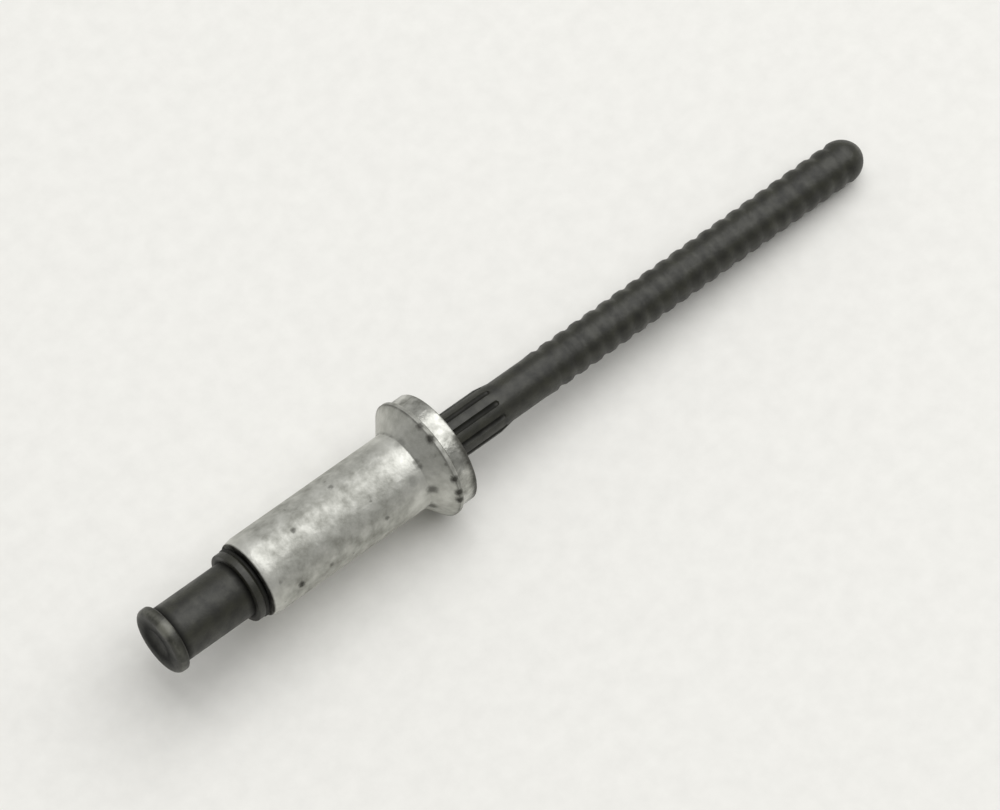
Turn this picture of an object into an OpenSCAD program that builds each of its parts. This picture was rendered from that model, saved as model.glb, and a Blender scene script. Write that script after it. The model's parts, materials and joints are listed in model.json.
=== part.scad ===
// Structural blind rivet with a countersunk head and a break-off stem, as supplied: the stem
// is pushed through the sleeve from the blind end, a locking collar waits in the sleeve's
// head, and a driving anvil lies on top of the head. The rivet lies on a level surface, on
// the rim of the sleeve's head and on the tip of the stem.
//
// Each piece is a profile turned about the rivet's axis. A profile is a list of
// [radius, station] points, and a station is the distance from the face of the button,
// at the blind end, towards the tip.

/* [Sleeve] */
// Outside diameter of the sleeve's shank
shank_d = 4.8; // [4.7:0.05:5.2]
// Length of the shank, from the blind end to the start of the countersunk head
shank_len = 11; // [8:0.1:14]
// Diameter of the shank's slightly tapered nose at the blind end
nose_d = 4.6; // [4.4:0.05:4.65]
// Length of the tapered nose
nose_len = 0.5; // [0.2:0.05:1]
// Chamfer at the mouth of the hole at the blind end
mouth_chamfer = 0.08; // [0.04:0.01:0.12]
// Diameter of the sleeve's head
head_d = 7.3; // [7:0.05:8]
// Angle of the countersunk head, measured across the whole cone
head_angle = 100; // [90:1:120]
// Width of the straight land around the head's rim
head_land = 0.28; // [0.2:0.02:0.5]
// Rounding of the rim's top edge
head_edge_r = 0.08; // [0.04:0.01:0.12]

/* [Driving anvil] */
// Diameter of the driving anvil
anvil_d = 6.9; // [6:0.05:7]
// Thickness of the driving anvil
anvil_t = 1.12; // [0.7:0.02:1.4]
// Rounding of the anvil's rim
anvil_edge_r = 0.1; // [0.06:0.02:0.2]
// Chamfer at the mouth of the anvil's hole
anvil_chamfer = 0.1; // [0.04:0.02:0.2]

/* [Locking collar] */
// Wall of the locking collar
collar_wall = 0.36; // [0.25:0.01:0.5]
// Height of the locking collar
collar_h = 0.85; // [0.5:0.05:0.95]
// Bevel that leads the collar into the stem's locking groove
collar_bevel = 0.18; // [0.08:0.02:0.22]

/* [Fits] */
// Clearance at each side of the stem in the sleeve, the collar and the anvil
stem_clear = 0.04; // [0.02:0.01:0.08]
// Clearance at each side of the collar in its pocket, and above it
pocket_clear = 0.04; // [0.02:0.01:0.08]

/* [Button and bulbing cylinder] */
// Diameter of the stem's button
button_d = 4.05; // [3.8:0.05:4.5]
// Thickness of the button
button_t = 0.68; // [0.6:0.02:1]
// Rounding of the button's front edge
button_front_r = 0.36; // [0.2:0.02:0.4]
// Rounding of the button's back edge
button_back_r = 0.12; // [0.06:0.02:0.16]
// Diameter of the dish in the button's face
dish_d = 1.9; // [1:0.1:2.4]
// Depth of the dish in the button's face
dish_depth = 0.14; // [0.05:0.01:0.25]
// Diameter of the cylinder that forms the bulb
bulb_d = 3.42; // [3.2:0.02:3.6]
// Length of the cylinder that forms the bulb
bulb_len = 4.74; // [4:0.02:5.5]

/* [Shear ring] */
// Diameter of the ring's front land
ring_front_d = 4.26; // [4.2:0.02:4.4]
// Width of the ring's front land, with its rounded edge
ring_front_w = 0.4; // [0.2:0.02:0.5]
// Diameter of the ring's back land
ring_back_d = 4.34; // [4.2:0.02:4.56]
// Width of the ring's back land
ring_back_w = 0.1; // [0.06:0.02:0.3]
// Depth of the shallow notch between the two lands, below the front land
ring_notch = 0.06; // [0.04:0.01:0.12]
// Width of the notch
ring_notch_w = 0.14; // [0.1:0.02:0.2]
// Rounding of the ring's front edge
ring_edge = 0.06; // [0.04:0.01:0.12]
// Length of the ring's back chamfer, which ends against the sleeve
ring_back_len = 0.22; // [0.12:0.02:0.26]
// Depth of the ring's back chamfer
ring_back_drop = 0.3; // [0.2:0.02:0.4]

/* [Stem core] */
// Diameter of the stem inside the sleeve and over the splines
core_d = 2.8; // [2.6:0.05:3]
// Diameter of the locking groove
lock_d = 2.3; // [2.1:0.05:2.5]
// Diameter of the neck where the stem breaks
break_d = 1.9; // [1.6:0.05:2]
// Width of the neck's notch
break_w = 0.4; // [0.3:0.05:0.6]
// Length of the splined part beyond the anvil
spline_len = 3.6; // [2:0.1:5]
// Number of flutes between the splines
flute_count = 10; // [6:1:12]
// Depth of a flute
flute_depth = 0.15; // [0.08:0.01:0.2]
// Radius of a flute's round bottom
flute_r = 0.18; // [0.14:0.01:0.22]
// Angle of the first flute about the axis
flute_turn = 19.5; // [0:0.5:36]
// Length of the taper from the splines to the pulling stem
taper_len = 0.96; // [0.4:0.02:1.2]

/* [Pulling stem] */
// Diameter of the plain part of the pulling stem
plain_d = 2.5; // [2.4:0.02:2.56]
// Length of the plain part of the pulling stem
plain_len = 3.58; // [2:0.02:5]
// Diameter over the crests between the pulling grooves
crest_d = 2.6; // [2.56:0.02:2.7]
// Diameter at the bottom of the pulling grooves
groove_d = 2.4; // [2.2:0.02:2.44]
// Distance from one pulling groove to the next
groove_pitch = 1.08; // [0.9:0.02:1.3]
// Number of pulling grooves
groove_count = 21; // [12:1:26]
// Width of a groove's flat bottom
groove_floor = 0.2; // [0.1:0.02:0.3]
// Width of each sloped side of a groove
groove_flank = 0.26; // [0.12:0.02:0.3]
// Width of the last crest, between the last groove and the tip
last_crest = 0.02; // [0.02:0.02:0.4]
// Length of the bullet-shaped tip
tip_len = 1.35; // [1:0.05:2]
// Diameter of the small flat at the end of the tip
tip_flat_d = 0.9; // [0.5:0.05:1.4]

/* [Hidden] */
$fn = 96;

// Part names, in the order they are put together

// Colours of the finishes
phosphated_steel = "#4a4a45";
plain_aluminium = "#b7b8b2";
bright_steel = "#a9aaa6";
tumbled_aluminium = "#adaea8";

// Steps along a round edge
arc_steps = 6;

// Share of the taper into which a flute goes on before its end
flute_hold = 0.32;
// Share of the taper that the point at a flute's end takes
flute_point = 0.2;
// Share of the anvil's thickness at which the flutes start
flute_start = 0.4;

// Stations along the axis
button_back = button_t;
ring_at = button_back + bulb_len;
ring_front_end = ring_at + ring_front_w;
ring_back_at = ring_front_end + ring_notch_w;
ring_back_end = ring_back_at + ring_back_w;
blind_end = ring_back_end + ring_back_len;
cone_start = blind_end + shank_len;
cone_end = cone_start + (head_d - shank_d) / 2 / tan(head_angle / 2);
head_top = cone_end + head_land;
anvil_top = head_top + anvil_t;
splines_end = anvil_top + spline_len;
taper_end = splines_end + taper_len;
first_groove = taper_end + plain_len;
last_groove = first_groove + (groove_count - 1) * groove_pitch;
tip_start = last_groove + groove_floor / 2 + groove_flank + last_crest;
stem_end = tip_start + tip_len;

// The button meets the sleeve when the stem has been pulled by the length of the bulbing
// cylinder, and the neck then stands level with the head, ready to break
neck_at = head_top - bulb_len;

// Radii that follow from the fits
core_r = core_d / 2;
crest_r = crest_d / 2;
hole_r = core_r + stem_clear;
collar_out_r = hole_r + collar_wall;
pocket_r = collar_out_r + pocket_clear;
pocket_floor = head_top - collar_h - pocket_clear;

// The tip is an arc that starts along the crests and ends at the small flat
tip_drop = crest_r - tip_flat_d / 2;
tip_arc_r = (tip_len * tip_len + tip_drop * tip_drop) / (2 * tip_drop);
tip_arc_sweep = asin(tip_len / tip_arc_r);

// Lean of the axis when the tip and a disc's rim lie on the same surface. The rim is a round
// edge of radius edge, centred at the given radius and station.
function lean(radius, station, edge) =
    let (
        along = tip_start - station,
        across = radius - (crest_r - tip_arc_r),
        apart = norm([along, across])
    )
    atan2(across, along) - asin((tip_arc_r - edge) / apart);

head_lean = lean(head_d / 2 - head_edge_r, head_top - head_edge_r, head_edge_r);
anvil_lean = lean(anvil_d / 2 - anvil_edge_r, anvil_top - anvil_edge_r, anvil_edge_r);
tilt = max(head_lean, anvil_lean);

// Height of the axis above the surface, measured at the face of the button
axis_height = tip_start * sin(tilt) + (crest_r - tip_arc_r) * cos(tilt) + tip_arc_r;

// The part's ends along the surface, and the middle between them
button_front_edge = button_front_r * (1 - cos(tilt)) + (button_d / 2 - button_front_r) * sin(tilt);
low_end = -button_front_edge;
high_end = stem_end * cos(tilt) + tip_flat_d / 2 * sin(tilt);
middle = (low_end + high_end) / 2;

// Points on an arc about [radius, station], between two angles measured from the radius
function arc(radius, station, r, from, to, steps = arc_steps) =
    [for (i = [0:steps]) let (a = from + (to - from) * i / steps)
        [radius + r * cos(a), station + r * sin(a)]];

// Stem: outline from the face of the button up to the sleeve
function dish_points() =
    let (r = (pow(dish_d / 2, 2) + dish_depth * dish_depth) / (2 * dish_depth))
    arc(0, dish_depth - r, r, 90, 90 - asin(dish_d / 2 / r));

function button_points() = concat(
    arc(button_d / 2 - button_front_r, button_front_r, button_front_r, -90, 0),
    arc(button_d / 2 - button_back_r, button_back - button_back_r, button_back_r, 0, 90));

// Stem: the ring that shears off and slides along the stem when the bulb is full
function ring_points() = concat(
    [[bulb_d / 2, button_back], [bulb_d / 2, ring_at]],
    arc(ring_front_d / 2 - ring_edge, ring_at + ring_edge, ring_edge, -90, 0),
    [
        [ring_front_d / 2, ring_front_end],
        [ring_front_d / 2 - ring_notch, (ring_front_end + ring_back_at) / 2],
        [ring_back_d / 2, ring_back_at],
        [ring_back_d / 2, ring_back_end],
        [ring_back_d / 2 - ring_back_drop, blind_end]
    ]);

// Stem: the core with its locking groove and its neck, then the taper and the plain part
function core_points() = [
    [core_r, blind_end],
    [core_r, neck_at - break_w / 2 - collar_h - collar_bevel],
    [lock_d / 2, neck_at - break_w / 2 - collar_h],
    [lock_d / 2, neck_at - break_w / 2],
    [break_d / 2, neck_at],
    [core_r, neck_at + break_w / 2],
    [core_r, splines_end],
    [plain_d / 2, taper_end],
    [plain_d / 2, first_groove - groove_pitch]
];

// Stem: one ring-shaped pulling groove, from crest to crest
function groove_points(at) = [
    [crest_r, at - groove_floor / 2 - groove_flank],
    [groove_d / 2, at - groove_floor / 2],
    [groove_d / 2, at + groove_floor / 2],
    [crest_r, at + groove_floor / 2 + groove_flank]
];

function grip_points() =
    [for (i = [0:groove_count - 1]) each groove_points(first_groove + i * groove_pitch)];

function tip_points() = arc(crest_r - tip_arc_r, tip_start, tip_arc_r, 0, tip_arc_sweep);

module turned(points) {
    rotate_extrude()
        polygon(points);
}

// One flute's cutter: a round bar along the axis that ends in a short point
module flute_cutter() {
    start = head_top + anvil_t * flute_start;
    full = splines_end + taper_len * flute_hold - start;
    translate([core_r - flute_depth + flute_r, 0, start]) {
        cylinder(r = flute_r, h = full, $fn = 48);
        translate([0, 0, full])
            cylinder(r1 = flute_r, r2 = 0, h = taper_len * flute_point, $fn = 48);
    }
}

module flutes() {
    for (i = [0:flute_count - 1])
        rotate(flute_turn + i * 360 / flute_count)
            flute_cutter();
}

// Stem, one cold-headed and rolled piece: button, bulbing cylinder, shear ring, core,
// splines and grooved pulling end
module stem_piece() {
    difference() {
        turned(concat(
            dish_points(), button_points(), ring_points(), core_points(),
            grip_points(), tip_points(), [[0, stem_end]]));
        flutes();
    }
}

// Sleeve: a tube with a countersunk head, and a pocket for the collar in the head
function sleeve_points() = concat(
    [
        [hole_r + mouth_chamfer, blind_end],
        [nose_d / 2, blind_end],
        [shank_d / 2, blind_end + nose_len],
        [shank_d / 2, cone_start],
        [head_d / 2, cone_end]
    ],
    arc(head_d / 2 - head_edge_r, head_top - head_edge_r, head_edge_r, 0, 90),
    [
        [pocket_r, head_top],
        [pocket_r, pocket_floor],
        [hole_r, pocket_floor],
        [hole_r, blind_end + mouth_chamfer]
    ]);

// Locking collar: a ring in the pocket, bevelled inside where it leads into the groove
function collar_points() = [
    [hole_r + collar_bevel, pocket_floor],
    [collar_out_r, pocket_floor],
    [collar_out_r, pocket_floor + collar_h],
    [hole_r, pocket_floor + collar_h],
    [hole_r, pocket_floor + collar_bevel]
];

// Driving anvil: a thick washer on the head, with round rims and a chamfered hole
function anvil_points() = concat(
    [[hole_r, head_top]],
    arc(anvil_d / 2 - anvil_edge_r, head_top + anvil_edge_r, anvil_edge_r, -90, 0),
    arc(anvil_d / 2 - anvil_edge_r, anvil_top - anvil_edge_r, anvil_edge_r, 0, 90),
    [
        [hole_r + anvil_chamfer, anvil_top],
        [hole_r, anvil_top - anvil_chamfer]
    ]);

// Lays a piece that stands on its axis down on the surface, with the tip towards +X
module laid() {
    translate([-middle, 0, axis_height])
        rotate([0, 90 + tilt, 0])
            children();
}

module stem() {
    color(phosphated_steel)
        laid()
            stem_piece();
}

module sleeve() {
    color(plain_aluminium)
        laid()
            turned(sleeve_points());
}

module locking_collar() {
    color(bright_steel)
        laid()
            turned(collar_points());
}

module driving_anvil() {
    color(tumbled_aluminium)
        laid()
            turned(anvil_points());
}

stem();
sleeve();
locking_collar();
driving_anvil();
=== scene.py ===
# %% [markdown]
# # A structural blind rivet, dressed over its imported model
#
# This lesson builds the looks of a break-stem blind rivet: a dark steel stem, a bright sleeve
# with a countersunk head, and a grey driving anvil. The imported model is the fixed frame. It
# says where each piece is, and nothing here moves or resizes it. The turned pieces are made
# again with finer sides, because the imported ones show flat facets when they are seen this
# close, and each new piece keeps the outline of the piece that it stands for.

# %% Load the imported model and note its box
import json
import math

import bmesh
import bpy
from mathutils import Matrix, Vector


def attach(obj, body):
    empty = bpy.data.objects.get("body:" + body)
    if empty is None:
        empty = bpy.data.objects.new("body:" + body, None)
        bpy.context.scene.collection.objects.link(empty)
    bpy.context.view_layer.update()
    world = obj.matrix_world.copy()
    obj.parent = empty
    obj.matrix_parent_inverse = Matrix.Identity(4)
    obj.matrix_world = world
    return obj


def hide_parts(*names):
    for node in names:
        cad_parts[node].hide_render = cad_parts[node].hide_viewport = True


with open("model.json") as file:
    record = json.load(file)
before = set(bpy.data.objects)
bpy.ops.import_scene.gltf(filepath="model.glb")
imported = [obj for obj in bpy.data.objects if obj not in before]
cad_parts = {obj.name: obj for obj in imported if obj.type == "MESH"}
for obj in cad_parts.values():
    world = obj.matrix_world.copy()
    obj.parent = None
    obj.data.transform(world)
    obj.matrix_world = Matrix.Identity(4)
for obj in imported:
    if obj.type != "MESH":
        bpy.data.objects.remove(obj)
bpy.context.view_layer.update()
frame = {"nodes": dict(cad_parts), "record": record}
MM = 0.001
print("nodes:", sorted(frame["nodes"]))

# %% [markdown]
# ## Where the rivet's own axis lies
#
# Every piece of a rivet is round about one axis. It is easiest to model such a piece upright
# on the world's Z axis, with its stations counted in millimetres from the button's face, and
# to lay it down at the end. The lie isn't guessed. The record states the straight shank as a
# mount, with a point on the axis and the direction towards the blind end, and both the dip
# and the place follow from that.

# %% Stations along the sleeve, and the lie of the axis
BUTTON_T = 0.68
BULB_LEN = 4.74
RING_FRONT_W = 0.4
RING_NOTCH_W = 0.14
RING_BACK_W = 0.1
RING_BACK_LEN = 0.22
NOSE_LEN = 0.5
SHANK_LEN = 11

ring_at = BUTTON_T + BULB_LEN
ring_front_end = ring_at + RING_FRONT_W
ring_back_at = ring_front_end + RING_NOTCH_W
ring_back_end = ring_back_at + RING_BACK_W
blind_end = ring_back_end + RING_BACK_LEN
cone_start = blind_end + SHANK_LEN

mounts = {mount["name"]: mount for mount in frame["record"]["mounts"]}
shank = mounts["sleeve_shank"]
blindwards = Vector(shank["axis"]).normalized()
shank_middle = (blind_end + NOSE_LEN + cone_start) / 2
button_face = Vector(shank["pos_m"]) + blindwards * shank_middle * MM
dip = math.asin(blindwards.z)
lie_turn = math.pi / 2 + dip
print("dip in degrees:", round(math.degrees(dip), 3))
print("button face in mm:", [round(value / MM, 3) for value in button_face])

# %% [markdown]
# ## How a turned piece is modelled
#
# A lathe turns a bar against a tool that follows an outline. In Blender the same thing is
# done by drawing half of the outline and spinning it. The start is a small plane merged to
# one point. That point is extruded from corner to corner of the outline, and the line is spun
# round the Z axis. Stacking cylinders would leave seams inside the piece, and a screw
# modifier would hide the steps. The spun skin is merged where it meets itself, and its faces
# are turned outwards.

# %% Draw an outline and spin it
SIDES = 144
MERGE = 1e-7


def deselect_all():
    """Leaves edit mode and selects nothing, as an operator acts on all that is selected."""
    if bpy.context.object and bpy.context.object.mode != "OBJECT":
        bpy.ops.object.mode_set(mode="OBJECT")
    bpy.ops.object.select_all(action="DESELECT")


def spun(name, outline):
    """A turned piece, upright on the Z axis: outline is a list of (radius, station) in mm."""
    deselect_all()
    bpy.ops.mesh.primitive_plane_add(size=MM)
    piece = bpy.context.object
    piece.name = piece.data.name = name
    bpy.ops.object.mode_set(mode="EDIT")
    bpy.ops.mesh.select_all(action="SELECT")
    bpy.ops.mesh.merge(type="CENTER")
    radius, station = outline[0]
    bpy.ops.transform.translate(value=(radius * MM, 0, station * MM))
    for next_radius, next_station in outline[1:]:
        step = ((next_radius - radius) * MM, 0, (next_station - station) * MM)
        bpy.ops.mesh.extrude_region_move(TRANSFORM_OT_translate={"value": step})
        radius, station = next_radius, next_station
    bpy.ops.mesh.select_all(action="SELECT")
    bpy.ops.mesh.remove_doubles(threshold=MERGE)
    bpy.ops.mesh.select_all(action="SELECT")
    bpy.ops.mesh.spin(steps=SIDES, angle=2 * math.pi, center=(0, 0, 0), axis=(0, 0, 1))
    bpy.ops.mesh.select_all(action="SELECT")
    bpy.ops.mesh.remove_doubles(threshold=MERGE)
    bpy.ops.mesh.normals_make_consistent(inside=False)
    bpy.ops.object.mode_set(mode="OBJECT")
    return piece


def arc(radius, station, r, start, end, steps=6):
    """Points of a round edge about (radius, station), from one angle to another."""
    angles = [math.radians(start + (end - start) * i / steps) for i in range(steps + 1)]
    return [(radius + r * math.cos(a), station + r * math.sin(a)) for a in angles]


# %% [markdown]
# Sharp corners look drawn and not made. Each piece therefore gets a narrow bevel on every
# edge that turns by more than a set angle, as tumbling and plating leave it. The bevel is a
# modifier that is applied, so that the mesh itself holds the rounding. Then the piece is laid
# down, and its place goes into its mesh, because a finished piece sits at the origin.

# %% Break the edges, smooth, and lay a piece down
EDGE_TURN = 28
SMOOTH_TURN = 32
BEVEL_STEPS = 2


def applied(piece, kind, **settings):
    """Adds a modifier with its settings to a piece and applies it."""
    deselect_all()
    piece.select_set(True)
    bpy.context.view_layer.objects.active = piece
    modifier = piece.modifiers.new(kind.lower(), kind)
    for key, value in settings.items():
        setattr(modifier, key, value)
    bpy.ops.object.modifier_apply(modifier=modifier.name)


def edges_broken(piece, width):
    """Rounds every edge that turns by more than EDGE_TURN degrees. width is in mm."""
    applied(
        piece, "BEVEL", width=width * MM, segments=BEVEL_STEPS, limit_method="ANGLE",
        angle_limit=math.radians(EDGE_TURN), harden_normals=False, use_clamp_overlap=True)


def laid_down(piece):
    """Smooths a piece and moves its mesh from the lathe's axis to the rivet's own lie."""
    deselect_all()
    piece.select_set(True)
    bpy.context.view_layer.objects.active = piece
    bpy.ops.object.shade_smooth_by_angle(angle=math.radians(SMOOTH_TURN))
    piece.rotation_euler = (0, lie_turn, 0)
    piece.location = button_face
    bpy.ops.object.transform_apply(location=True, rotation=True, scale=True)
    piece.data.calc_loop_triangles()
    print(piece.name, "triangles:", len(piece.data.loop_triangles))


# %% [markdown]
# ## Sleeve
#
# The sleeve is an aluminium tube with a countersunk head. Its nose is drawn in a little so
# that it finds the drilled hole, the head's cone is 100 degrees across, and a narrow straight
# land runs round the rim. A pocket in the head's top holds the locking collar. The outline
# starts at the mouth of the hole and goes round the wall back to its first point.

# %% Model the sleeve
SHANK_D = 4.8
NOSE_D = 4.6
MOUTH_CHAMFER = 0.08
HEAD_D = 7.3
HEAD_ANGLE = 100
HEAD_LAND = 0.28
HEAD_EDGE_R = 0.08
CORE_D = 2.8
STEM_CLEAR = 0.04
COLLAR_WALL = 0.36
COLLAR_H = 0.85
POCKET_CLEAR = 0.04
SLEEVE_BEVEL = 0.035

cone_height = (HEAD_D - SHANK_D) / 2 / math.tan(math.radians(HEAD_ANGLE / 2))
cone_end = cone_start + cone_height
head_top = cone_end + HEAD_LAND
hole_r = CORE_D / 2 + STEM_CLEAR
pocket_r = hole_r + COLLAR_WALL + POCKET_CLEAR
pocket_floor = head_top - COLLAR_H - POCKET_CLEAR

sleeve_outline = [
    (hole_r + MOUTH_CHAMFER, blind_end),
    (NOSE_D / 2, blind_end),
    (SHANK_D / 2, blind_end + NOSE_LEN),
    (SHANK_D / 2, cone_start),
    (HEAD_D / 2, cone_end),
    *arc(HEAD_D / 2 - HEAD_EDGE_R, head_top - HEAD_EDGE_R, HEAD_EDGE_R, 0, 90, 4),
    (pocket_r, head_top),
    (pocket_r, pocket_floor),
    (hole_r, pocket_floor),
    (hole_r, blind_end + MOUTH_CHAMFER),
    (hole_r + MOUTH_CHAMFER, blind_end),
]
sleeve = spun("sleeve_turned", sleeve_outline)
edges_broken(sleeve, SLEEVE_BEVEL)
laid_down(sleeve)

# %% [markdown]
# ## Driving anvil
#
# The anvil is a thick washer that the pulling head presses on. It is loose on the stem, its
# rim is well rounded by tumbling, and the mouth of its hole is chamfered.

# %% Model the driving anvil
ANVIL_D = 6.9
ANVIL_T = 1.12
ANVIL_EDGE_R = 0.1
ANVIL_CHAMFER = 0.1
ANVIL_BEVEL = 0.02

anvil_top = head_top + ANVIL_T
anvil_outline = [
    (hole_r, head_top),
    *arc(ANVIL_D / 2 - ANVIL_EDGE_R, head_top + ANVIL_EDGE_R, ANVIL_EDGE_R, -90, 0),
    *arc(ANVIL_D / 2 - ANVIL_EDGE_R, anvil_top - ANVIL_EDGE_R, ANVIL_EDGE_R, 0, 90),
    (hole_r + ANVIL_CHAMFER, anvil_top),
    (hole_r, anvil_top - ANVIL_CHAMFER),
    (hole_r, head_top),
]
anvil = spun("driving_anvil_turned", anvil_outline)
edges_broken(anvil, ANVIL_BEVEL)
laid_down(anvil)

# %% [markdown]
# ## Stem
#
# The stem is one piece of steel from the button to the tip. It is cold headed, and the
# grooves of its pulling end are rolled. Its outline is drawn in four stretches: the button
# with its dish, the bulbing cylinder with the shear ring, the core with the locking groove
# and the break neck that are hidden in the sleeve, and the pulling end with one groove
# repeated by a loop.

# %% The button, the bulbing cylinder and the shear ring
BUTTON_D = 4.05
BUTTON_FRONT_R = 0.36
BUTTON_BACK_R = 0.12
DISH_D = 1.9
DISH_DEPTH = 0.14
BULB_D = 3.42
RING_FRONT_D = 4.26
RING_BACK_D = 4.34
RING_NOTCH = 0.06
RING_EDGE = 0.06
RING_BACK_DROP = 0.3

dish_r = ((DISH_D / 2) ** 2 + DISH_DEPTH**2) / (2 * DISH_DEPTH)
dish_turn = math.degrees(math.asin(DISH_D / 2 / dish_r))
button_outline = [
    *arc(0, DISH_DEPTH - dish_r, dish_r, 90, 90 - dish_turn, 8),
    *arc(BUTTON_D / 2 - BUTTON_FRONT_R, BUTTON_FRONT_R, BUTTON_FRONT_R, -90, 0, 8),
    *arc(BUTTON_D / 2 - BUTTON_BACK_R, BUTTON_T - BUTTON_BACK_R, BUTTON_BACK_R, 0, 90, 4),
]
ring_outline = [
    (BULB_D / 2, BUTTON_T),
    (BULB_D / 2, ring_at),
    *arc(RING_FRONT_D / 2 - RING_EDGE, ring_at + RING_EDGE, RING_EDGE, -90, 0, 4),
    (RING_FRONT_D / 2, ring_front_end),
    (RING_FRONT_D / 2 - RING_NOTCH, (ring_front_end + ring_back_at) / 2),
    (RING_BACK_D / 2, ring_back_at),
    (RING_BACK_D / 2, ring_back_end),
    (RING_BACK_D / 2 - RING_BACK_DROP, blind_end),
]
print("outline points, button and ring:", len(button_outline) + len(ring_outline))

# %% The core inside the sleeve, and the splines' blank
LOCK_D = 2.3
BREAK_D = 1.9
BREAK_W = 0.4
COLLAR_BEVEL = 0.18
SPLINE_LEN = 3.6
TAPER_LEN = 0.96
PLAIN_D = 2.5

splines_end = anvil_top + SPLINE_LEN
taper_end = splines_end + TAPER_LEN
neck_at = head_top - BULB_LEN
lock_end = neck_at - BREAK_W / 2
core_outline = [
    (CORE_D / 2, blind_end),
    (CORE_D / 2, lock_end - COLLAR_H - COLLAR_BEVEL),
    (LOCK_D / 2, lock_end - COLLAR_H),
    (LOCK_D / 2, lock_end),
    (BREAK_D / 2, neck_at),
    (CORE_D / 2, neck_at + BREAK_W / 2),
    (CORE_D / 2, splines_end),
    (PLAIN_D / 2, taper_end),
]
print("splines end and taper end in mm:", round(splines_end, 2), round(taper_end, 2))

# %% The pulling grooves, by a loop, and the tip
PLAIN_LEN = 3.58
CREST_D = 2.6
GROOVE_D = 2.4
GROOVE_PITCH = 1.08
GROOVE_COUNT = 21
GROOVE_FLOOR = 0.2
GROOVE_FLANK = 0.26
LAST_CREST = 0.02
TIP_LEN = 1.35
TIP_FLAT_D = 0.9

first_groove = taper_end + PLAIN_LEN
last_groove = first_groove + (GROOVE_COUNT - 1) * GROOVE_PITCH
tip_start = last_groove + GROOVE_FLOOR / 2 + GROOVE_FLANK + LAST_CREST
grip_outline = [(PLAIN_D / 2, first_groove - GROOVE_PITCH)]
for i in range(GROOVE_COUNT):
    middle = first_groove + i * GROOVE_PITCH
    grip_outline += [
        (CREST_D / 2, middle - GROOVE_FLOOR / 2 - GROOVE_FLANK),
        (GROOVE_D / 2, middle - GROOVE_FLOOR / 2),
        (GROOVE_D / 2, middle + GROOVE_FLOOR / 2),
        (CREST_D / 2, middle + GROOVE_FLOOR / 2 + GROOVE_FLANK),
    ]
tip_drop = CREST_D / 2 - TIP_FLAT_D / 2
tip_arc_r = (TIP_LEN**2 + tip_drop**2) / (2 * tip_drop)
tip_turn = math.degrees(math.asin(TIP_LEN / tip_arc_r))
tip_outline = [
    *arc(CREST_D / 2 - tip_arc_r, tip_start, tip_arc_r, 0, tip_turn, 12),
    (0, tip_start + TIP_LEN),
]
stem = spun(
    "stem_turned", button_outline + ring_outline + core_outline + grip_outline + tip_outline)
print("stem length in mm:", round(tip_start + TIP_LEN, 2))

# %% [markdown]
# The splines are what is left between ten flutes. A flute is cut by a round bar that lies
# along the stem and ends in a short point, so that the flute stops early in the taper. One
# bar is modelled, spun copies of it are set round the axis, and a boolean takes them away.

# %% One cutting bar with its point
FLUTE_COUNT = 10
FLUTE_DEPTH = 0.15
FLUTE_R = 0.18
FLUTE_TURN = 19.5
FLUTE_START = 0.4
FLUTE_HOLD = 0.32
FLUTE_POINT = 0.2
FLUTE_BAR_SIDES = 32
FACES_UP = 0.9

flute_from = head_top + ANVIL_T * FLUTE_START
flute_full = splines_end + TAPER_LEN * FLUTE_HOLD - flute_from
flute_axis = CORE_D / 2 - FLUTE_DEPTH + FLUTE_R
deselect_all()
bpy.ops.mesh.primitive_cylinder_add(
    vertices=FLUTE_BAR_SIDES, radius=FLUTE_R * MM, depth=flute_full * MM,
    location=(flute_axis * MM, 0, (flute_from + flute_full / 2) * MM))
cutter = bpy.context.object
bpy.ops.object.transform_apply(location=True, rotation=True, scale=True)
bpy.ops.object.mode_set(mode="EDIT")
bpy.ops.mesh.select_all(action="DESELECT")
cutter_mesh = bmesh.from_edit_mesh(cutter.data)
for face in cutter_mesh.faces:
    face.select_set(face.normal.z > FACES_UP)
bmesh.update_edit_mesh(cutter.data)
bpy.ops.mesh.extrude_region_move(
    TRANSFORM_OT_translate={"value": (0, 0, TAPER_LEN * FLUTE_POINT * MM)})
bpy.ops.mesh.merge(type="CENTER")
print("cutting bar length in mm:", round(flute_full + TAPER_LEN * FLUTE_POINT, 2))

# %% Copies round the axis, and the cut
bpy.ops.mesh.select_all(action="SELECT")
bpy.ops.mesh.spin(
    steps=FLUTE_COUNT - 1, angle=2 * math.pi * (FLUTE_COUNT - 1) / FLUTE_COUNT,
    center=(0, 0, 0), axis=(0, 0, 1), dupli=True)
bpy.ops.mesh.select_all(action="SELECT")
bpy.ops.mesh.normals_make_consistent(inside=False)
bpy.ops.object.mode_set(mode="OBJECT")
cutter.rotation_euler = (0, 0, math.radians(FLUTE_TURN))
applied(stem, "BOOLEAN", operation="DIFFERENCE", solver="EXACT", object=cutter)
bpy.data.objects.remove(cutter)
print("faces after the flutes:", len(stem.data.polygons))

# %% Finish the stem
STEM_BEVEL = 0.03
edges_broken(stem, STEM_BEVEL)
laid_down(stem)

# %% [markdown]
# ## One function for nodes
#
# Every material below is a small tree of nodes. A single function adds a node, sets its
# properties, and fills or links its inputs, so that each material reads as a list of what is
# put together. Inputs are given by name, or in the order of the sockets in use where that is
# plain: MapRange takes a value, the two ends of its range and what they become, and Mix takes
# a share and the colours that it gives at 0 and at 1. A node that is given as an input is
# linked from its first output in use, and any other output is named.
#
# Colours are written as the usual sRGB hex values, and one function turns them to linear
# light. Pattern sizes are in millimetres. A noise texture mostly stays between 0.3 and 0.7,
# so those are the ends that are stretched to the two tones of a finish.

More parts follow.
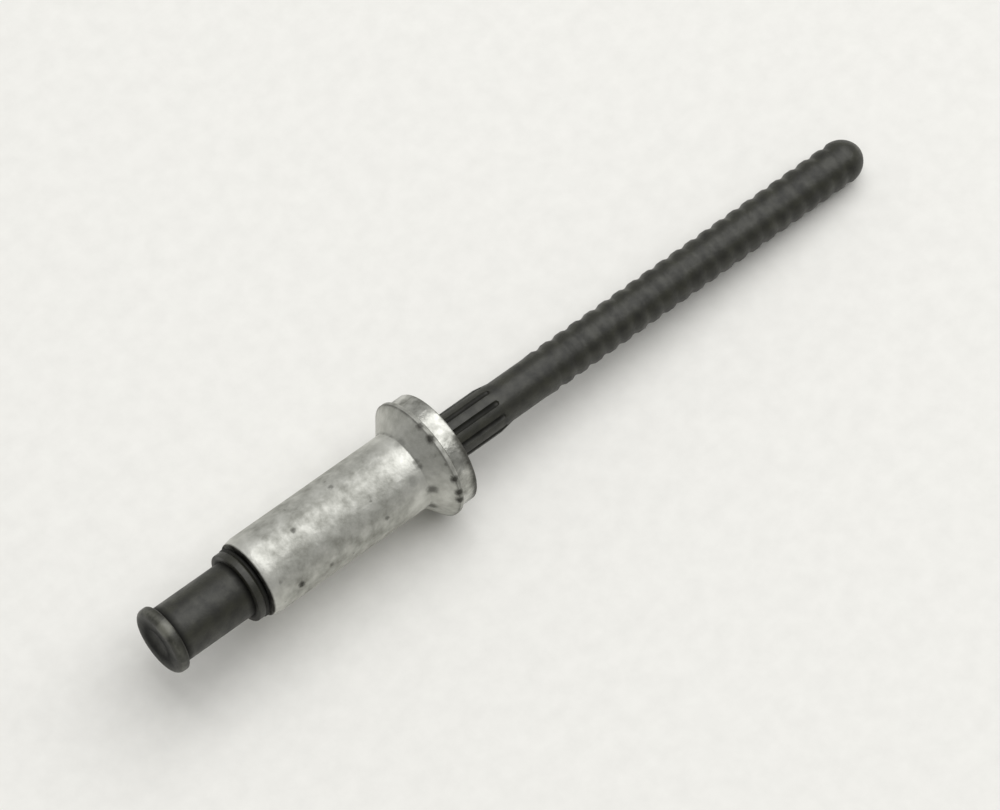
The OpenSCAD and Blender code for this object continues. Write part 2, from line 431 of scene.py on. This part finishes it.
# %% Helpers for every material
CLOUDY = {"Detail": 3.0, "Roughness": 0.55}
NOISE_ENDS = (0.3, 0.7)


def linear(hex_colour):
    """An sRGB hex colour as linear red, green, blue and alpha."""
    parts = [int(hex_colour[i:i + 2], 16) / 255 for i in (1, 3, 5)]
    return [p / 12.92 if p <= 0.04045 else ((p + 0.055) / 1.055) ** 2.4 for p in parts] + [1.0]


def add_node(tree, kind, inputs=(), **settings):
    """Adds a node with its properties, and fills each input with a value or links it."""
    made = tree.nodes.new("ShaderNode" + kind)
    for key, value in settings.items():
        setattr(made, key, value)
    if isinstance(inputs, dict):
        filled = [(made.inputs[name], value) for name, value in inputs.items()]
    else:
        filled = zip([socket for socket in made.inputs if socket.enabled], inputs)
    for socket, value in filled:
        if isinstance(value, bpy.types.Node):
            value = next(output for output in value.outputs if output.enabled)
        if isinstance(value, bpy.types.NodeSocket):
            tree.links.new(value, socket)
        else:
            socket.default_value = value
    return made


def new_material(name):
    """A material with an empty tree of nodes."""
    material = bpy.data.materials.new(name)
    material.use_nodes = True
    material.node_tree.nodes.clear()
    return material


# %% [markdown]
# A finish has to stay on its piece when the piece is turned or seen from another side, so all
# of it is drawn on the piece's own coordinates. A mapping node takes them back to the lathe:
# upright, in millimetres, with the station along Z. Painted shade in a corner is then drawn
# by its station and its distance from the axis, as one would mark it on a drawing.

# %% Places on the rivet
def turned_place(tree):
    """Object coordinates in millimetres, upright as on the lathe: Z is the station."""
    whole = add_node(tree, "TexCoord").outputs["Object"]
    return add_node(
        tree, "Mapping",
        {"Vector": whole, "Location": button_face, "Rotation": (0, lie_turn, 0),
         "Scale": (MM, MM, MM)},
        vector_type="TEXTURE")


def near_station(tree, place, station, reach):
    """1 at a station on the axis, falling to 0 at reach millimetres to either side of it."""
    along = add_node(tree, "SeparateXYZ", (place,)).outputs["Z"]
    past = add_node(tree, "Math", (along, station), operation="SUBTRACT")
    off = add_node(tree, "Math", (past,), operation="ABSOLUTE")
    return add_node(tree, "MapRange", (off, 0, reach, 1, 0))


def from_axis(tree, place):
    """Distance from the axis in millimetres."""
    across = add_node(tree, "VectorMath", (place, (1, 1, 0)), operation="MULTIPLY")
    return add_node(tree, "VectorMath", (across,), operation="LENGTH")


# %% Spots and ragged places
SPOT_CORE = 0.35


def spots(tree, place, marks):
    """Round spots that fade to their rims. A mark is (radius, turn, station, reach, depth)."""
    found = 0.0
    for radius, turn, station, reach, depth in marks:
        turn = math.radians(turn)
        middle = (radius * math.cos(turn), radius * math.sin(turn), station)
        apart = add_node(tree, "VectorMath", (place, middle), operation="DISTANCE")
        spot = add_node(tree, "MapRange", (apart, reach * SPOT_CORE, reach, depth, 0))
        found = add_node(tree, "Math", (found, spot), operation="MAXIMUM")
    return found


def wavy(tree, place, size, far):
    """The place moved by up to about far / 2, so that what is drawn there has a ragged edge."""
    noise = add_node(tree, "TexNoise", {"Vector": place, "Scale": 1 / size, "Detail": 2})
    shift = add_node(
        tree, "VectorMath", (noise.outputs["Color"], (far, far, far), (-far / 2,) * 3),
        operation="MULTIPLY_ADD")
    return add_node(tree, "VectorMath", (place, shift), operation="ADD")


# %% The surface itself
def finish_surface(tree, bump_height, bump_mm, **surface):
    """The surface shader with a bump, linked to the output."""
    bump = add_node(
        tree, "Bump", {"Height": bump_height, "Distance": bump_mm * MM, "Strength": 1.0})
    shader = add_node(tree, "BsdfPrincipled", {**surface, "Normal": bump})
    add_node(tree, "OutputMaterial", {"Surface": shader})


# %% [markdown]
# ## Phosphated steel
#
# The stem is steel with a manganese phosphate coating, which is grown in a hot bath and then
# oiled. The crystals are a few hundredths of a millimetre across and nearly black, with an
# olive cast. They scatter light, and the oil gives them a soft sheen. The crystals are too
# fine to show, so the grain is drawn about three times as coarse.

# %% The coating, and how thick it lies
COAT_DARK = "#191913"
COAT_LIGHT = "#303027"
COAT_CLOUD = 0.7
COAT_GRAIN = 0.12
COAT_GRAIN_BUMP = 0.012

steel = new_material("phosphated_steel_oiled")
tree = steel.node_tree
place = turned_place(tree)
radius = from_axis(tree, place)
cloud = add_node(tree, "TexNoise", {"Vector": place, "Scale": 1 / COAT_CLOUD, **CLOUDY})
grain = add_node(
    tree, "TexNoise",
    {"Vector": place, "Scale": 1 / COAT_GRAIN, "Detail": 2.0, "Roughness": 0.55})
thin = add_node(tree, "MapRange", (cloud, *NOISE_ENDS, 0, 1))
coat = add_node(
    tree, "Mix", (thin, linear(COAT_DARK), linear(COAT_LIGHT)), data_type="RGBA")
print("coating tones:", COAT_DARK, COAT_LIGHT)

# %% [markdown]
# A near-black tone paints the shade that falls in the gap between the ring and the sleeve's
# end, in the corners behind the button and before the shear ring, in the button's dish and in
# the flutes. Each of these is a share from 0 to 1, and the largest one counts.

# %% Painted shade in the gap, in the corners and in the dish
GAP_REACH = 0.45
GAP_FULL = 0.45
CORNER_REACH = 0.42
CORNER_FADE = 0.2
DISH_REACH = 0.3
DISH_FADE = 0.8

bulb_r = BULB_D / 2
corners = (
    (BUTTON_T + BUTTON_BACK_R, CORNER_REACH, bulb_r, CORNER_FADE),
    (ring_at, CORNER_REACH, bulb_r, CORNER_FADE),
    (0, DISH_REACH, BUTTON_D / 4, DISH_FADE),
)
in_gap = near_station(tree, place, blind_end, GAP_REACH)
dirt_and_shade = add_node(tree, "MapRange", (in_gap, 0, GAP_FULL, 0, 1))
for station, reach, full_within, fade in corners:
    inside = add_node(tree, "MapRange", (radius, full_within, full_within + fade, 1, 0))
    at_corner = near_station(tree, place, station, reach)
    corner = add_node(tree, "Math", (inside, at_corner), operation="MULTIPLY")
    dirt_and_shade = add_node(tree, "Math", (dirt_and_shade, corner), operation="MAXIMUM")
print("stations with dirt in mm:", round(blind_end, 2), [round(row[0], 2) for row in corners])

# %% Painted shade in the flutes
FLUTE_SHADE = 0.75
FLUTE_PAST = 0.5
FLUTE_FADE = (0.05, 0.2)
CREST_MARGIN = 0.01

core_r = CORE_D / 2
flutes_middle = (anvil_top + splines_end) / 2
flutes_reach = splines_end - flutes_middle + FLUTE_PAST
# The flutes are darkened with painted shade, which fades out along the stem and towards the
# crests.
along_flutes = add_node(
    tree, "MapRange",
    (near_station(tree, place, flutes_middle, flutes_reach), *FLUTE_FADE, 0, FLUTE_SHADE))
below_crests = add_node(
    tree, "MapRange", (radius, core_r - FLUTE_DEPTH, core_r - CREST_MARGIN, 1, 0))
in_flutes = add_node(tree, "Math", (along_flutes, below_crests), operation="MULTIPLY")
dirt_and_shade = add_node(tree, "Math", (dirt_and_shade, in_flutes), operation="MAXIMUM")
print("dirt in the flutes reaches in mm:", round(flutes_reach, 2))

# %% [markdown]
# Handling rubs the coating thin on the button's rim, unevenly all round, and the lighter tone
# there is partly this wear and partly a painted highlight, strongest in one place. Where shade
# is painted, the surface is also made rougher and its reflection lower.

# %% The coating rubbed thin on the button's rim, with a painted highlight
RUBBED_AND_HIGHLIT = "#717168"
RUB_HIGHLIGHT_PATCH = 0.5
RUB_HIGHLIGHT_PATCH_ENDS = (0.4, 0.6)
RUB_HIGHLIGHT_SHARES = (0.2, 0.6)
RUB_HIGHLIGHT_RAGGED_SIZE = 0.3
RUB_HIGHLIGHT_RAGGED_FAR = 0.4
BUTTON_RUB_AND_HIGHLIGHT = (1.95, 190, 0.2, 0.66, 1.0)

at_rim = add_node(tree, "MapRange", (radius, BUTTON_D / 2 - BUTTON_FRONT_R, BUTTON_D / 2, 0, 1))
at_front = near_station(tree, place, BUTTON_FRONT_R / 2, BUTTON_FRONT_R)
on_rim = add_node(tree, "Math", (at_rim, at_front), operation="MULTIPLY")
patches = add_node(tree, "TexNoise", {"Vector": place, "Scale": 1 / RUB_HIGHLIGHT_PATCH, **CLOUDY})
uneven = add_node(tree, "MapRange", (patches, *RUB_HIGHLIGHT_PATCH_ENDS, *RUB_HIGHLIGHT_SHARES))
rub_and_highlight = add_node(tree, "Math", (on_rim, uneven), operation="MULTIPLY")
ragged = wavy(tree, place, RUB_HIGHLIGHT_RAGGED_SIZE, RUB_HIGHLIGHT_RAGGED_FAR)
rub_and_highlight = add_node(tree, "Math", (rub_and_highlight, spots(tree, ragged, (BUTTON_RUB_AND_HIGHLIGHT,))), operation="MAXIMUM")
# The rim's lighter tone: wear, and a painted highlight.
coat = add_node(tree, "Mix", (rub_and_highlight, coat, linear(RUBBED_AND_HIGHLIT)), data_type="RGBA")
print("rubbed tone:", RUBBED_AND_HIGHLIT)

# %% The finished steel
PAINTED_SHADE_TONE = "#0b0b08"
THICK_ROUGH, THIN_ROUGH = 0.52, 0.38
PAINTED_SHADE_DULLS = 0.25
OIL_SHEEN = 0.45
PAINTED_SHADE_SHEEN = 0.15

# The near-black tone is painted shade in the gap, the corners, the dish and the flutes, and the
# surface is made rougher and less reflective there.
coat = add_node(tree, "Mix", (dirt_and_shade, coat, linear(PAINTED_SHADE_TONE)), data_type="RGBA")
oiled = add_node(tree, "MapRange", (cloud, *NOISE_ENDS, THICK_ROUGH, THIN_ROUGH))
dulled = add_node(tree, "MapRange", (dirt_and_shade, 0, 1, 0, PAINTED_SHADE_DULLS))
finish_surface(
    tree, grain, COAT_GRAIN_BUMP,
    **{"Base Color": coat, "Metallic": 0.0,
       "Roughness": add_node(tree, "Math", (oiled, dulled), operation="ADD"),
       "Specular IOR Level": add_node(tree, "MapRange", (dirt_and_shade, 0, 1, OIL_SHEEN, PAINTED_SHADE_SHEEN))})
print(steel.name, "nodes:", len(tree.nodes))

# %% [markdown]
# ## Tumbled aluminium
#
# The sleeve is cold-headed aluminium, tumbled and coated with a thin film. The metal mirrors
# its surroundings and the film scatters a little of the light, so the shader is metal for the
# larger part only. Tumbling leaves the metal frosted in patches of about half a millimetre,
# and its bright streak is cloudy for that reason. It is smoother where the header's tools
# pressed on it, beside the head and at the nose, and a lighter tone there paints a brighter
# highlight.
#
# Small pits hold dark lubricant. The larger ones are placed one by one, and the small ones
# are scattered with a cell pattern. The same dark tone also paints shade in the gap at the end
# face, in the corner under the head, in the joint with the anvil and on the head's land, and
# marks grime on the outer edge of the head's cone.

# %% Small pits, scattered
SPECK_CELL = 0.9
SPECK_LARGEST = 0.2
SPECK_FADE = 0.09
SPECK_DEPTH = 0.4
SPECK_NONE_BELOW = 0.35


def specks(tree, place):
    """Scattered specks: one in each cell of a cell pattern, of a size that the cell picks."""
    cells = add_node(tree, "TexVoronoi", {"Vector": place, "Scale": 1 / SPECK_CELL})
    pick = add_node(tree, "SeparateColor", (cells.outputs["Color"],))
    size = add_node(
        tree, "MapRange", (pick, SPECK_NONE_BELOW, 1, 0, SPECK_LARGEST / SPECK_CELL))
    inside = add_node(tree, "Math", (size, cells), operation="SUBTRACT")
    return add_node(tree, "MapRange", (inside, 0, SPECK_FADE / SPECK_CELL, 0, SPECK_DEPTH))


# %% Broken lines of grime and painted shade
JOINT_PATCH = 0.7
JOINT_PATCH_ENDS = (0.4, 0.62)


def joint_dirt_and_shade(tree, place, joints):
    """Broken dark lines of grime and painted shade. A joint is (station, reach, least share,
    largest share).
    """
    found = 0.0
    patches = add_node(tree, "TexNoise", {"Vector": place, "Scale": 1 / JOINT_PATCH, **CLOUDY})
    for station, reach, least, largest in joints:
        broken = add_node(tree, "MapRange", (patches, *JOINT_PATCH_ENDS, least, largest))
        at_joint = near_station(tree, place, station, reach)
        line = add_node(tree, "Math", (at_joint, broken), operation="MULTIPLY")
        found = add_node(tree, "Math", (found, line), operation="MAXIMUM")
    return found


# %% Tumbled metal, in the tones and with the marks of one piece
FROST_CLOUD = 0.8
FROST_CLOUD_ENDS = (0.32, 0.68)
FROST_DENTS = 0.36
FROST_BUMP = 0.034
RAGGED_SIZE = 0.16
RAGGED_FAR = 0.2
DIRT_AND_SHADE_ROUGHEN = 0.25
FILM_METALLIC = 0.8
PRESSED_HIGHLIGHT_TONE = "#e2e2dc"
PRESSED_HIGHLIGHT_FROM = 0.3
PRESSED_SMOOTHER = 0.2
LUBRICANT_AND_SHADE = "#3c3b35"


def tumbled(name, light, dark, rough_low, rough_high, polished_and_highlit, marks, joints):
    """Metal of two tones, smoother at the listed (station, reach, share) places, where a
    lighter tone paints a brighter highlight.
    """
    material = new_material(name)
    tree = material.node_tree
    place = turned_place(tree)
    cloud = add_node(
        tree, "TexNoise",
        {"Vector": place, "Scale": 1 / FROST_CLOUD, "Detail": 3.0, "Roughness": 0.6})
    lighter = add_node(tree, "MapRange", (cloud, *FROST_CLOUD_ENDS, 0, 1))
    tone = add_node(tree, "Mix", (lighter, linear(dark), linear(light)), data_type="RGBA")
    ragged = wavy(tree, place, RAGGED_SIZE, RAGGED_FAR)
    spot_marks = spots(tree, ragged, marks)
    dirt_and_shade = add_node(tree, "Math", (spot_marks, joint_dirt_and_shade(tree, place, joints)), operation="MAXIMUM")
    dirt_and_shade = add_node(tree, "Math", (dirt_and_shade, specks(tree, ragged)), operation="MAXIMUM")

    rough = add_node(tree, "MapRange", (cloud, *NOISE_ENDS, rough_high, rough_low))
    dulled = add_node(tree, "MapRange", (dirt_and_shade, 0, 1, 0, DIRT_AND_SHADE_ROUGHEN))
    rough = add_node(tree, "Math", (rough, dulled), operation="ADD")
    for station, reach, share in polished_and_highlit:
        pressed = near_station(tree, place, station, reach)
        smoother = add_node(tree, "MapRange", (pressed, 0, 1, 0, share * PRESSED_SMOOTHER))
        rough = add_node(tree, "Math", (rough, smoother), operation="SUBTRACT")
        # A lighter tone at the pressed places is a painted highlight.
        painted_highlight = add_node(tree, "MapRange", (pressed, PRESSED_HIGHLIGHT_FROM, 1, 0, share))
        tone = add_node(tree, "Mix", (painted_highlight, tone, linear(PRESSED_HIGHLIGHT_TONE)), data_type="RGBA")
    # The dark tone marks pits, specks and grime, and paints shade where the marks and joints
    # lie in corners and gaps.
    tone = add_node(tree, "Mix", (dirt_and_shade, tone, linear(LUBRICANT_AND_SHADE)), data_type="RGBA")
    dents = add_node(tree, "TexNoise", {"Vector": place, "Scale": 1 / FROST_DENTS, **CLOUDY})
    finish_surface(
        tree, dents, FROST_BUMP,
        **{"Base Color": tone, "Metallic": FILM_METALLIC, "Roughness": rough})
    print(name, "nodes:", len(tree.nodes))
    return material


# %% The sleeve's marks
shank_r = SHANK_D / 2
rim_r = HEAD_D / 2
# Pressed places: smoother, with a painted highlight in a lighter tone.
SLEEVE_PRESSED_AND_HIGHLIT = (
    (cone_start - 0.6, 1.6, 0.5),
    (cone_start + 0.5, 1.0, 0.3),
    (blind_end, 2.0, 0.5),
)
SHANK_PITS = (
    (shank_r, 254.1, 8.15, 0.3, 0.8), (shank_r, 162.5, 12.62, 0.22, 0.5),
    (shank_r, 183.5, 9.26, 0.2, 0.55), (shank_r, 244.9, 14.27, 0.2, 0.5),
    (shank_r, 256.5, 10.24, 0.2, 0.45), (shank_r, 230, 7.02, 0.18, 0.4),
    (shank_r, 220.3, 16.55, 0.46, 0.4),
)
# Painted shade in the corner under the head.
UNDER_HEAD_SHADE = (
    (shank_r + 0.1, 170, cone_start, 0.42, 0.35),
    (shank_r + 0.05, 203, cone_start, 0.26, 0.5),
    (shank_r + 0.05, 210, cone_start, 0.26, 0.5),
    (shank_r + 0.12, 247, cone_start + 0.08, 0.42, 0.6),
    (shank_r + 0.1, 286, cone_start + 0.1, 0.44, 0.65),
)
CONE_EDGE_DIRT = (
    (rim_r, 178.6, cone_end, 0.34, 0.75), (rim_r, 193.7, cone_end - 0.04, 0.4, 0.85),
    (rim_r, 236, cone_end - 0.02, 0.34, 0.9), (rim_r, 251.5, cone_end, 0.36, 0.85),
    (rim_r, 262, cone_end, 0.38, 0.85),
)
# Painted shade at the end face beside the ring, under the head, in the joint with the anvil and
# on the head's land; grime on the cone's outer edge.
SLEEVE_JOINTS = (
    (blind_end, 0.1, 0.8, 1),
    (cone_start, 0.1, 0, 0.4),
    (cone_end, 0.09, 0.35, 0.7),
    (head_top, 0.06, 0, 0.15),
    (head_top - 0.14, 0.3, 0.1, 0.3),
)
sleeve_marks = SHANK_PITS + UNDER_HEAD_SHADE + CONE_EDGE_DIRT
print("marks on the sleeve:", len(sleeve_marks), "and joints:", len(SLEEVE_JOINTS))

# %% The sleeve's metal
SLEEVE_LIGHT = "#c1c1bb"
SLEEVE_DARK = "#9b9b94"
SLEEVE_ROUGH = (0.53, 0.68)

sleeve_metal = tumbled(
    "tumbled_aluminium_film_coated", SLEEVE_LIGHT, SLEEVE_DARK, *SLEEVE_ROUGH,
    polished_and_highlit=SLEEVE_PRESSED_AND_HIGHLIT, marks=sleeve_marks, joints=SLEEVE_JOINTS)

# %% [markdown]
# The anvil is tumbled too, but it is a greyer metal with a closer finish, so its streak is
# sharper. One side of its far edge is darkened with painted shade, drawn as a row of spots
# that overlap, and painted shade also darkens its joint with the head and round its top.

# %% The anvil's marks and metal
ANVIL_LIGHT = "#c2c2bc"
ANVIL_DARK = "#7e7e78"
ANVIL_ROUGH = (0.27, 0.39)

anvil_r = ANVIL_D / 2
# Painted shade on one side of the far edge.
FAR_EDGE_SHADE = [(anvil_r, turn, anvil_top - 0.04, 0.42, 0.8) for turn in range(207, 287, 4)]
# Painted shade in the joint with the head and round the top.
ANVIL_JOINTS = ((head_top, 0.06, 0, 0.15), (anvil_top, 0.16, 0.2, 0.6))
anvil_metal = tumbled(
    "tumbled_grey_alloy", ANVIL_LIGHT, ANVIL_DARK, *ANVIL_ROUGH,
    polished_and_highlit=(), marks=FAR_EDGE_SHADE, joints=ANVIL_JOINTS)

# %% [markdown]
# ## The locking collar
#
# The collar is sealed in the head's pocket. It can't be seen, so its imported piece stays, with
# the plain turned steel that it is made of. The tool leaves fine rings round it. A lathe's
# feed of about 0.06 mm is too fine to show, so the rings are drawn about six times as
# coarse. A wave texture of scale 1 repeats every 2 pi / 20, and its scale follows from that.

# %% Turned steel for the collar
TURNED_STEEL = "#a5a5a0"
TURNED_ROUGH = 0.35
TOOL_RINGS = 0.377
TOOL_RINGS_WANDER = 0.4
TOOL_RINGS_BUMP = 0.002
WAVE_REPEAT = 2 * math.pi / 20

collar_metal = new_material("plain_turned_steel")
tree = collar_metal.node_tree
rings = add_node(
    tree, "TexWave",
    {"Vector": turned_place(tree), "Scale": WAVE_REPEAT / TOOL_RINGS,
     "Distortion": TOOL_RINGS_WANDER, "Detail": 1.0},
    bands_direction="Z")
finish_surface(
    tree, rings.outputs["Fac"], TOOL_RINGS_BUMP,
    **{"Base Color": linear(TURNED_STEEL), "Metallic": 1.0, "Roughness": TURNED_ROUGH})
print(collar_metal.name, "nodes:", len(tree.nodes))

# %% Put the finishes on, hide the imported pieces that the new ones replace, and hang the new ones on the root
collar = frame["nodes"]["locking_collar"]
for piece, material in (
        (stem, steel), (sleeve, sleeve_metal), (anvil, anvil_metal), (collar, collar_metal)):
    piece.data.materials.clear()
    piece.data.materials.append(material)

for piece, node in ((stem, "stem"), (sleeve, "sleeve"), (anvil, "driving_anvil")):
    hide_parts(node)
    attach(piece, "root")
print("pieces:", stem.name, sleeve.name, anvil.name, collar.name)

# %% [markdown]
# ## Sheet of white paper
#
# The rivet lies on plain matt paper, slightly warm. A large plane does it. Its fibres clump
# into faint clouds of about a millimetre, and it hardly shines.

# %% Lay the paper
PAPER_SPAN = 4.0
PAPER_DARK = "#e9e8e4"
PAPER_LIGHT = "#eeede9"
PAPER_CLOUD = 1.2
PAPER_BUMP = 0.01
PAPER_ROUGH = 0.9
PAPER_SHEEN = 0.2

deselect_all()
bpy.ops.mesh.primitive_plane_add(size=PAPER_SPAN)
paper = bpy.context.object
paper.name = "paper"
paper_finish = new_material("matt_paper")
tree = paper_finish.node_tree
whole = add_node(tree, "TexCoord").outputs["Object"]
cloud = add_node(
    tree, "TexNoise", {"Vector": whole, "Scale": 1 / (PAPER_CLOUD * MM), **CLOUDY})
lighter = add_node(tree, "MapRange", (cloud, *NOISE_ENDS, 0, 1))
sheet = add_node(
    tree, "Mix", (lighter, linear(PAPER_DARK), linear(PAPER_LIGHT)), data_type="RGBA")
finish_surface(
    tree, cloud, PAPER_BUMP,
    **{"Base Color": sheet, "Roughness": PAPER_ROUGH, "Specular IOR Level": PAPER_SHEEN})
paper.data.materials.append(paper_finish)
print(paper_finish.name, "nodes:", len(tree.nodes))

# %% [markdown]
# ## Light
#
# A photo tent gives even light from all sides. A large soft lamp stands high above it on the
# tip's side, and gives the sleeve its bright streak and the shadow on the near side. A white
# card at the far side lifts the sleeve's upper edge and the head's cone. The world is the
# tent, at about a quarter of the light on the paper, so that the shadow is clear but soft.

# %% The tent
TENT_WHITE = "#fffffb"
TENT_LIGHT = 0.25

world = bpy.data.worlds.new("tent")
bpy.context.scene.world = world
world.use_nodes = True
tree = world.node_tree
tree.nodes.clear()
tent = add_node(tree, "Background", (linear(TENT_WHITE), TENT_LIGHT))
add_node(tree, "OutputWorld", {"Surface": tent})
print("tent light:", TENT_LIGHT)

# %% The lamp and the card
LAMP_WAY = Vector((0.42, 0.04, 0.88)).normalized()
LAMP_FAR = 1.0
LAMP_SIZE = 1.35
LAMP_WATTS = 13.2

CARD_WAY = Vector((-0.2, 0.92, 0.34)).normalized()
CARD_FAR = 0.8
CARD_SIZE = 1.2
CARD_WATTS = 1.2


def soft_light(name, way, far, size, watts):
    """A square lamp that faces the rivet from a direction, far metres away."""
    deselect_all()
    bpy.ops.object.light_add(type="AREA", location=way * far)
    light = bpy.context.object
    light.name = name
    light.data.shape = "SQUARE"
    light.data.size = size
    light.data.energy = watts
    light.rotation_euler = (-way).to_track_quat("-Z", "Y").to_euler()
    print(name, "at mm:", [round(value / MM) for value in light.location])


soft_light("soft_lamp", LAMP_WAY, LAMP_FAR, LAMP_SIZE, LAMP_WATTS)
soft_light("white_card", CARD_WAY, CARD_FAR, CARD_SIZE, CARD_WATTS)

# %% [markdown]
# ## Camera
#
# The camera looks down on the rivet from the blind side with a long lens. Its distance and
# lens are set so that the rivet has the size and the slight foreshortening of a close-up
# taken from about 30 cm.

# %% Set the camera
VIEW_AZIMUTH = math.radians(40.34)
VIEW_ELEVATION = math.radians(62.2)
VIEW_FAR = 0.3052
LENS_PX = 5500
IMAGE_WIDTH_PX = 1000
SENSOR_MM = 36
AIM_STATION = 24.2
AIM_OFF_PX = (-1.2, 1.8)
NEAREST_SEEN = 0.01

ahead = Vector((
    math.sin(VIEW_AZIMUTH) * math.cos(VIEW_ELEVATION),
    math.cos(VIEW_AZIMUTH) * math.cos(VIEW_ELEVATION),
    -math.sin(VIEW_ELEVATION)))
right = Vector((math.cos(VIEW_AZIMUTH), -math.sin(VIEW_AZIMUTH), 0))
up = right.cross(ahead)
aim = button_face - blindwards * AIM_STATION * MM
metres_per_px = VIEW_FAR / LENS_PX
aim += (-right * AIM_OFF_PX[0] - up * AIM_OFF_PX[1]) * metres_per_px

deselect_all()
bpy.ops.object.camera_add(location=aim - ahead * VIEW_FAR)
camera = bpy.context.object
camera.rotation_euler = ahead.to_track_quat("-Z", "Y").to_euler()
camera.data.sensor_width = SENSOR_MM
camera.data.lens = LENS_PX * SENSOR_MM / IMAGE_WIDTH_PX
camera.data.clip_start = NEAREST_SEEN
bpy.context.scene.camera = camera
print("lens in mm:", round(camera.data.lens, 1))

bpy.context.scene.view_settings.view_transform = "Standard"
